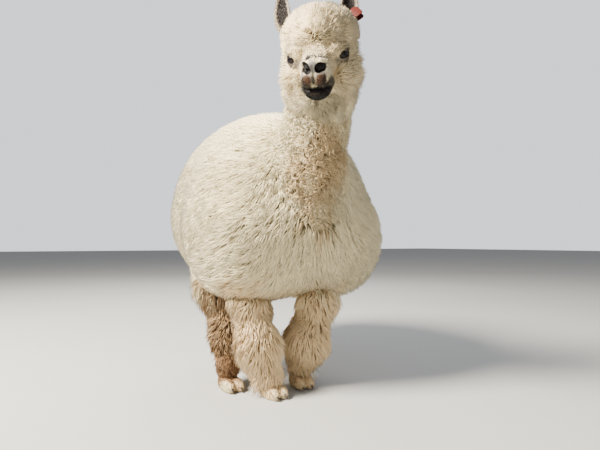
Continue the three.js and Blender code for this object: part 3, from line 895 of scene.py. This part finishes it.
def fleece_fields(points):
    """About how far each part's fleece reaches beyond the points, by part."""
    legs = {name: leg(points) for name, leg in legs_fleece.items()}
    return np.stack([
        trunk_fleece(points),
        neck_fleece(points),
        head_fleece(to_head(points)),
        np.full(len(points), np.inf),
        np.minimum(legs["foreleg_right"], legs["foreleg_left"]),
        np.minimum(legs["hindleg_right"], legs["hindleg_left"]),
        tail_fleece(points),
    ])


def outline(points):
    """The tips of the whole coat, as a shape."""
    return np.minimum(fleece_fields(points).min(0), body_fleece(points))


SHORT_HAIR = 8  # millimetres of coat on the head below which it is face and not wool
TOES_HEIGHT = 58  # above it a leg's fleece grows on the foot too
SHELLS_APART = 4  # where the face's shell is no deeper inside the flesh, it still grows coat
fields = fleece_fields(middles)
parts = fields.argmin(0)
parts[(parts == HEAD) & (fields[HEAD] > -SHORT_HAIR)] = FACE
parts[(shell_of == LEFT_EAR_SHELL) | (shell_of == RIGHT_EAR_SHELL)] = EARS
parts[(shell_of >= FIRST_FOOT_SHELL) & (middles[:, 2] < TOES_HEIGHT)] = TOES
# Where two shells lie inside each other, only the outer one grows coat.
on_body, on_face = shell_of == BODY_SHELL, shell_of == FACE_SHELL
inside = np.zeros(len(middles), bool)
inside[on_body] = face_closed(to_head(middles[on_body])) < 0
inside[on_face] = flesh(middles[on_face]) < -SHELLS_APART
parts[inside] = -1
rng = np.random.default_rng(5)


def scatter(chosen, count):
    """Roots spread evenly by area over the chosen triangles, and each one's way out."""
    index = np.flatnonzero(chosen)
    total = np.cumsum(areas[index])
    shares = (np.arange(count) + rng.random(count)) / count
    picks = index[np.searchsorted(total, shares * total[-1] * 0.99999)]
    a, b = rng.random((2, count, 1))
    folded = (a + b) > 1
    a, b = np.where(folded, 1 - a, a), np.where(folded, 1 - b, b)
    p, q, r = np.moveaxis(corners[picks], 1, 0)
    return p + a * (q - p) + b * (r - p), unit(np.cross(q - p, r - p))


def locks(roots, size):
    """Which lock each root belongs to, and the middle of that lock."""
    shifts = np.stack([smooth_noise(roots, size, 11 + i) for i in range(3)], -1)
    _, which = np.unique(np.floor(roots / size + shifts).astype(int), axis=0, return_inverse=True)
    which = which.ravel()
    totals = np.bincount(which)
    middle = np.stack([np.bincount(which, roots[:, i]) / totals for i in range(3)], -1)
    return which, middle[which]


def coat(name, roots, out, lie, depth, bake_place, shape=SHORT_LOCK, colours=None,
         lift=0.95, reach=1.5, width=5.0, lock=12, gather=0.4, stray=0.25, wave=0.3, crimp=1.0,
         uneven=0.10):
    """Grows one piece of coat. out and lie are directions away from the skin and along it, and depth
    how far the outline is. Tips rise by lift and lie along by reach times the depth. Roots in one
    lock gather to its middle. Stray and wave turn single locks and whole stretches of coat, crimp
    bends each tuft, and uneven is how much locks differ in length."""
    count, rings = len(roots), len(shape)
    which, middle = locks(roots, lock)
    twist = wave * smooth_noise(roots, 38, 21)[:, None]
    lie = lie + twist * np.cross(out, lie)
    lie = lie + stray * (rng.normal(0, 1, (which.max() + 1, 3))[which] + rng.normal(0, 0.7, (count, 3)))
    lie = flatten(lie, out)
    vary = rng.normal(1, uneven, which.max() + 1)[which] * rng.normal(0.95, 0.08, count)
    vary = np.clip(vary, 0.55, 1.04)
    rise = (depth * lift * vary)[:, None]
    run = lie * (depth * reach * vary)[:, None] + gather * (middle - roots)
    run = run - out * (run * out).sum(-1, keepdims=True)
    far = np.linalg.norm(run, axis=-1, keepdims=True)
    lie = run / np.maximum(far, 1e-6)
    side = np.cross(out, lie)
    curl = rng.normal(0, 0.08, (count, 1)) * far
    sway = crimp * np.clip(depth / 30, 0.1, 1)[:, None]
    phase = rng.uniform(0, 2 * math.pi, which.max() + 1)[which][:, None]
    thick = (width * rng.uniform(0.75, 1.2, count))[:, None] / 2
    size = 3 * rings + 1
    points = np.empty((count, size, 3))
    for ring, (t, share) in enumerate((*shape, (1.0, 0.0))):
        lifted = math.sin(t * math.pi / 2) ** 0.9
        centre = roots + out * (rise * lifted - ROOT_DEPTH * (t == 0)) + lie * far * t**1.35
        centre = centre + side * (sway * (np.sin(phase + 7 * t) - np.sin(phase)) + curl * t * t)
        if t == 1:
            points[:, -1] = centre
            continue
        heading = unit(out * rise * math.cos(t * math.pi / 2) + lie * far * max(t, 0.03) ** 0.35)
        over = np.cross(heading, side)
        for j in range(3):
            turn = 2 * math.pi * j / 3 + math.pi / 2
            points[:, 3 * ring + j] = centre + share * thick * (
                side * math.cos(turn) + over * (0.75 * math.sin(turn)))
    points[..., 2] = np.maximum(points[..., 2], FLOOR_GAP)
    faces, patch = tuft_faces(rings)
    mesh = bpy.data.meshes.new(name)
    mesh.vertices.add(count * size)
    mesh.vertices.foreach_set("co", to_frame(points.reshape(-1, 3)).astype(np.float32).ravel())
    sizes = np.array([len(face) for face in faces])
    loops = (np.concatenate(faces)[None] + size * np.arange(count)[:, None]).ravel()
    mesh.loops.add(len(loops))
    mesh.loops.foreach_set("vertex_index", loops.astype(np.int32))
    mesh.polygons.add(len(sizes) * count)
    totals = np.tile(sizes, count)
    mesh.polygons.foreach_set("loop_start", (np.cumsum(totals) - totals).astype(np.int32))
    mesh.polygons.foreach_set("use_smooth", np.ones(len(totals), bool))
    mesh.update(calc_edges=True)
    low, high = bake_place.min(0), bake_place.max(0)
    spots = PATCH + (bake_place - low) / (high - low) * (1 - 2 * PATCH)
    bake_map = mesh.uv_layers.new(name="OFBake")
    spread = (spots[:, None] + patch[None] * PATCH).reshape(-1, 2)
    bake_map.uv.foreach_set("vector", spread.astype(np.float32).ravel())
    along = np.tile([t for t, _ in shape for _ in range(3)] + [1.0], count)
    add_values(mesh, "along", along)
    tone = 0.65 * rng.random(which.max() + 1)[which] + 0.35 * rng.random(count)
    add_values(mesh, "tone", np.repeat(tone, size))
    add_point_colours(mesh, np.repeat(marks_and_painted_light(roots) if colours is None else colours, size, 0))
    mesh.materials.append(fleece_material)
    made = placed(name, mesh)
    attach(made, "root")


def combed(way, out):
    """One direction laid along the skin at every root."""
    return flatten(np.tile(way, (len(out), 1)), out)


def rooted(chosen, count):
    """Roots in the fleece, the way out of it above each, and the depth of coat there."""
    roots, _ = scatter(chosen, count)
    depth = -outline(roots)
    keep = depth > 1
    return roots[keep], unit(slopes(outline, roots[keep], 14)), depth[keep]


def round_map(points, centre, axes=np.eye(3)):
    """Longitude about the second axis, and the angle from its front end."""
    q = unit((points - centre) @ axes)
    return np.stack([np.arctan2(q[:, 0], q[:, 2]) / math.pi, np.arccos(np.clip(-q[:, 1], -1, 1))], -1)


# Trunk: from a whorl on the breast the locks run back along the flanks and down the chest, and
# towards the rump they hang. Four pieces, a quarter each.
CHEST_WHORL = (-10, -330, 830)
MID_TRUNK_Y = -60
for ahead, end in ((True, "front"), (False, "back")):
    for left, word in ((True, "left"), (False, "right")):
        chosen = (parts == TRUNK) & ((middles[:, 1] < MID_TRUNK_Y) == ahead) & ((middles[:, 0] > 0) == left)
        roots, out, depth = rooted(chosen, 15500)
        hang = np.clip((roots[:, 1:2] + 150) / 600, 0, 1) * 1.1 + 0.08
        lie = flatten(unit((roots - CHEST_WHORL) * (1, 1, 0.38)) + hang * (0, 0, -1.0), out)
        coat(f"fleece_{end}_{word}", roots, out, lie, depth, round_map(roots, (0, 0, 660)),
             reach=1.7, width=5.2, lock=14, gather=0.6, stray=0.22, wave=0.35)

# Neck: short tight curls that run down to the breast.
roots, out, depth = rooted(parts == NECK, 15000)
neck_axes = np.array(((1, 0, 0), (0, 0, 1), (0, 1, 0)))
coat("fleece_neck", roots, out, combed((-0.05, 0.2, -1.0), out), depth,
     round_map(roots, (0, -400, 800), neck_axes),
     reach=0.8, width=4.2, lock=8, gather=0.8, stray=0.7, wave=0.8)

# Head: the topknot stands up and back from the brow, and the ruff sweeps outwards and back from the
# muzzle over cheeks and throat. Both lie away from the eyes.
CROWN_Z = 22  # in the head's frame: the crown grows above it and the ruff below
above = to_head(middles)[:, 2] > CROWN_Z
for high, word, count in ((True, "crown", 14500), (False, "ruff", 15500)):
    roots, out, depth = rooted((parts == HEAD) & (above == high), count)
    q = to_head(roots)
    crown = unit(q - (-4, -14, 56) + rng.normal(0, 9, q.shape))
    ruff = unit(unit((q - (MIDDLE, 0, -45)) * (1, 0, 1)) + (0, 0.75, 0))
    up = np.clip((q[:, 2] - 2) / 36, 0, 1)[:, None]
    lie = crown * up + ruff * (1 - up)
    for side in (1, -1):
        away = q - eye_middle(side)
        far = np.linalg.norm(away, axis=-1, keepdims=True)
        lie = lie + away / far * np.clip(1.9 - far / 36, 0, 1)
        depth = depth * np.clip((far[:, 0] - 20) / 30, 0.2, 1)
    lie = flatten(lie @ head_axes.T, out)
    fringe = near(q, (0, -50, 44), (80, 60, 26), 0, 0.8)  # hangs over the brow
    coat(f"fleece_{word}", roots, out, lie, depth, round_map(q, (0, 40, 0)),
         reach=0.9 + 1.2 * fringe if high else 1.25, width=4.2, lock=12 if high else 16, gather=0.85,
         stray=0.3, wave=0.3, uneven=0.16)

# Face: short flat hair from the nose back to the wool, none on nose, lips and lids.
roots, out = scatter(parts == FACE, 13000)
q = to_head(roots)
bare = near(q, (MIDDLE, -148, -9), (15, 20, 17), 0, 0.4) > 0.4
bare |= near(q, (MIDDLE, -150, -72), (36, 40, 11), 0, 0.4) > 0.5
bare |= np.minimum(nostrils[0](q), nostrils[1](q)) < 8
for side in (1, -1):
    bare |= np.linalg.norm(q - eye_middle(side), axis=-1) < EYE_RADIUS + 4
roots, out, q = roots[~bare], out[~bare], q[~bare]
lie = flatten(unit(q - (0, -175, -30)) @ head_axes.T, out)
depth = np.clip(-outline(roots), 2.0, 9)
depth = np.where(q[:, 1] < -70, np.minimum(depth, 3.4), depth)
depth = np.maximum(depth, 5 * near(q, (4, -58, 14), (48, 50, 30)))
for side in (1, -1):
    depth = np.maximum(depth, 10 * near(q, (side * 60, -22, 30), (36, 34, 16)))
coat("face_hair", roots, out, lie, depth, round_map(q, (0, 0, -20)),
     lift=0.85, reach=2.4, width=2.0, lock=7, gather=0.5, stray=0.45, wave=0.4, crimp=0)

# Legs: long locks that hang down over the shanks and open over the feet, shorter near the floor.
LEG_GAP_X = -40  # between the right legs and the left ones
RIGHT_LEG_X, LEFT_LEG_X, FORELEG_Y = -175, 90, -230  # the axes that the bake maps turn about
for part, name in ((FORELEGS, "fleece_forelegs"), (HINDLEGS, "fleece_hindlegs")):
    roots, out, depth = rooted(parts == part, 8200)
    lie = combed((0, 0.05, -1.0), out)
    low = np.clip((roots[:, 2] - 20) / 90, 0.15, 1)
    left = roots[:, 0] > LEG_GAP_X
    axis_y = FORELEG_Y if part == FORELEGS else 0
    around = np.arctan2(roots[:, 0] - np.where(left, LEFT_LEG_X, RIGHT_LEG_X), roots[:, 1] - axis_y)
    places = np.stack([around / 6.5 + left * 1.05, roots[:, 2] / 400], -1)
    coat(name, roots, out, lie, depth * low**0.5, places,
         lift=1.0, reach=2.0, width=4.8, lock=13, gather=0.65, stray=0.2, wave=0.4)

# Feet: short hair on the toes, down to the nails.
roots, out = scatter((parts == TOES) & (middles[:, 2] > 9), 3600)
lie = combed((0, -0.7, -0.6), out)
places = np.stack([roots[:, 0], roots[:, 1]], -1)
coat("foot_hair", roots, out, lie, np.full(len(roots), 5.0), places,
     lift=0.6, reach=2.2, width=2.4, lock=6, stray=0.3, wave=0.2, crimp=0)

# Tail: a short tail that hangs from the croup, in long locks.
roots, out, depth = rooted(parts == TAIL_END, 2900)
lie = combed((0, 0.1, -1.0), out)
coat("fleece_tail", roots, out, lie, depth, round_map(roots, (0, RUMP_Y - 20, 750)),
     reach=1.9, width=5.0, lock=14, gather=0.6)

# Ears: short soft hair, pale along the rims and dark in the hollow.
roots, out = scatter(parts == EARS, 6000)
q = to_head(roots)
lie = combed(head_axes @ (0, 0.3, 1), out)
ear_colours = ear_tint(roots, marks_and_painted_light(roots))
coat("ear_hair", roots, out, lie, np.full(len(roots), 3.2), np.stack([q[:, 0], q[:, 2]], -1),
     colours=ear_colours, lift=0.7, reach=3.4, width=1.9, lock=7, stray=0.25, wave=0.2, crimp=0)

# Eyelashes: long stiff hairs on the upper lids, dark among pale ones.
LASHES = 90  # on each side
LID_HALF_WIDTH, LID_RISE, LID_THICK = 20.5, 10, 2.2  # of the arc on which they stand
for side, word in ((1, "left"), (-1, "right")):
    axes = eye_axes(side)
    turns = rng.uniform(0.06, 0.94, LASHES) * math.pi
    across, up = LID_HALF_WIDTH * np.cos(turns), LID_RISE * np.sin(turns) + 2
    reach = np.sqrt((EYE_RADIUS + LID_THICK) ** 2 - across**2 - up**2)
    roots = eye_middle(side) + np.stack([reach, across, up], -1) @ axes.T
    out = unit(np.stack([reach, across, up + 4], -1)) @ axes.T @ head_axes.T
    lie = combed(head_axes @ (axes @ (0.5, 0.35, 0.6)), out)
    pale = rng.random((len(roots), 1)) < 0.5
    coat(f"lashes_{word}", from_head(roots), out, lie, np.full(len(roots), 7.5),
         np.stack([turns, up], -1), LONG_LOCK, lift=1.0, reach=1.0, width=0.9, lock=4,
         colours=np.where(pale, (0.7, 0.6, 0.45), (0.03, 0.02, 0.016)),
         gather=0, stray=0.12, wave=0, crimp=0)


# ---- Nails ----
# Each toe ends in a curved nail of dark streaked horn. It grows out of the skin of the toe, and its
# faceted shape is made round.
def softened(name, source, material, rounding=None):
    """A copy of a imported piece, its doubles merged and its edges rounded or made smooth."""
    mesh = bpy.data.meshes.new(name)
    shape = bmesh.new()
    shape.from_mesh(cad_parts[source].data)
    bmesh.ops.remove_doubles(shape, verts=shape.verts, dist=1e-5)
    shape.transform(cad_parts[source].matrix_world)
    if rounding:
        bmesh.ops.dissolve_limit(shape, angle_limit=math.radians(2), verts=shape.verts, edges=shape.edges)
        joined = [edge for edge in shape.edges if edge.is_manifold]
        sharp = [edge for edge in joined if edge.calc_face_angle() > math.radians(20)]
        bmesh.ops.bevel(shape, geom=sharp, offset=rounding, segments=3, profile=0.5, affect="EDGES")
    shape.to_mesh(mesh)
    shape.free()
    mesh.polygons.foreach_set("use_smooth", [True] * len(mesh.polygons))
    mesh.materials.append(material)
    made = placed(name, mesh)
    if rounding is None:
        finer = made.modifiers.new("smooth horn", "SUBSURF")
        finer.levels = finer.render_levels = 2
    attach(made, "root")
    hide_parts(source)


nail_material, tree, shader = surface("nail_horn", Roughness=0.42)
nail_values = {"Vector": own_place(tree), "Scale": (260, 30, 260)}
nail_streaks = noise(tree, node(tree, "ShaderNodeMapping", nail_values).outputs[0], 1, 4)
nail_tint = two_tints(tree, nail_streaks, (0.022, 0.016, 0.012), (0.11, 0.08, 0.055))
tree.links.new(nail_tint, shader.inputs["Base Color"])
add_relief(tree, shader, nail_streaks, 0.3, 0.0008)
for foot in FEET:
    for word in ("left", "right"):
        softened(f"{foot}_horn_{word}", f"{foot}_nail_{word}", nail_material)

# ---- Ear tag ----
# Two blank leaves of red plastic on a stud through the left ear, moulded with rounded edges and
# bleached a little by the sun.
tag_material, tree, shader = surface("tag_plastic", Roughness=0.6, Specular_IOR_Level=0.15)
tag_fading = noise(tree, own_place(tree), 60, 5)
tag_scuffs = noise(tree, own_place(tree), 500, 3)
tag_tint = two_tints(tree, tag_fading, (0.055, 0.006, 0.0045), (0.12, 0.014, 0.010))
tree.links.new(tag_tint, shader.inputs["Base Color"])
add_relief(tree, shader, tag_scuffs, 0.2, 0.0004)
for leaf in ("front", "back"):
    softened(f"tag_leaf_{leaf}", f"eartag_{leaf}", tag_material, rounding=0.0007)
